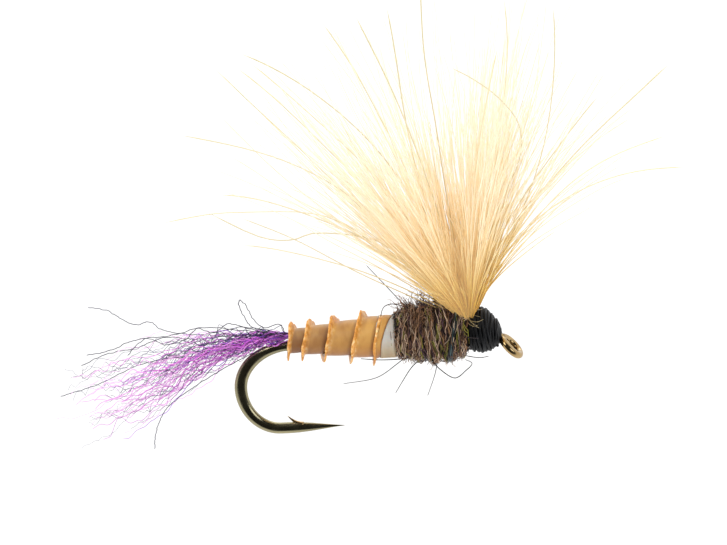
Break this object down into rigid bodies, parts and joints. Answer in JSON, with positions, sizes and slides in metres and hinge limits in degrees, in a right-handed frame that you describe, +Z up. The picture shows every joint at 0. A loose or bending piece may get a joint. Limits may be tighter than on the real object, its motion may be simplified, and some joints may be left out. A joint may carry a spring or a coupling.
{
  "type": "dry fly",
  "caption": "Artificial mayfly emerger: barbed hook with a down-turned eye, trailing purple shuck, ribbed amber body, brown fur thorax, upright cream feather wing and black thread head.",
  "frame": {"origin": "centre of the hook eye", "axes": "+X forward from the tail to the hook eye, along the shank; +Z up towards the wing; +Y to the fly's left"},
  "size_m": [0.0335, 0.0151, 0.024],
  "materials": {
    "hook_wire": "polished",
    "black_thread": "satin",
    "teal_thread": "satin",
    "white_floss": "satin",
    "amber_biot": "satin",
    "purple_antron": "satin",
    "brown_dubbing": "matte",
    "cream_cdc": "matte"
  },
  "bodies": {
    "root": {"biot_strip": "amber_biot", "cdc_plume_1_front_barbs": "cream_cdc", "cdc_plume_1_rear_barbs": "cream_cdc", "cdc_plume_1_stem": "cream_cdc", "cdc_plume_2_front_barbs": "cream_cdc", "cdc_plume_2_rear_barbs": "cream_cdc", "cdc_plume_2_stem": "cream_cdc", "cdc_plume_3_front_barbs": "cream_cdc", "cdc_plume_3_rear_barbs": "cream_cdc", "cdc_plume_3_stem": "cream_cdc", "cdc_plume_4_front_barbs": "cream_cdc", "cdc_plume_4_rear_barbs": "cream_cdc", "cdc_plume_4_stem": "cream_cdc", "dubbing_noodle": "brown_dubbing", "head_wraps": "black_thread", "hook": "hook_wire", "shuck_lock_01": "purple_antron", "shuck_lock_02": "purple_antron", "shuck_lock_03": "purple_antron", "shuck_lock_04": "purple_antron", "shuck_lock_05": "purple_antron", "shuck_lock_06": "purple_antron", "shuck_lock_07": "purple_antron", "shuck_lock_08": "purple_antron", "shuck_lock_09": "purple_antron", "shuck_lock_10": "purple_antron", "shuck_stray_1": "purple_antron", "shuck_stray_2": "purple_antron", "shuck_stray_3": "purple_antron", "stray_barb_01": "cream_cdc", "stray_barb_02": "cream_cdc", "stray_barb_03": "cream_cdc", "stray_barb_04": "cream_cdc", "stray_barb_05": "cream_cdc", "stray_barb_06": "cream_cdc", "stray_barb_07": "cream_cdc", "stray_barb_08": "cream_cdc", "stray_barb_09": "cream_cdc", "stray_barb_10": "cream_cdc", "stray_barb_11": "cream_cdc", "thorax_rib_thread": "teal_thread", "thorax_underwraps": "black_thread", "thread_base": "black_thread", "underbody": "white_floss", "whip_finish": "black_thread"}
  },
  "joints": []
}
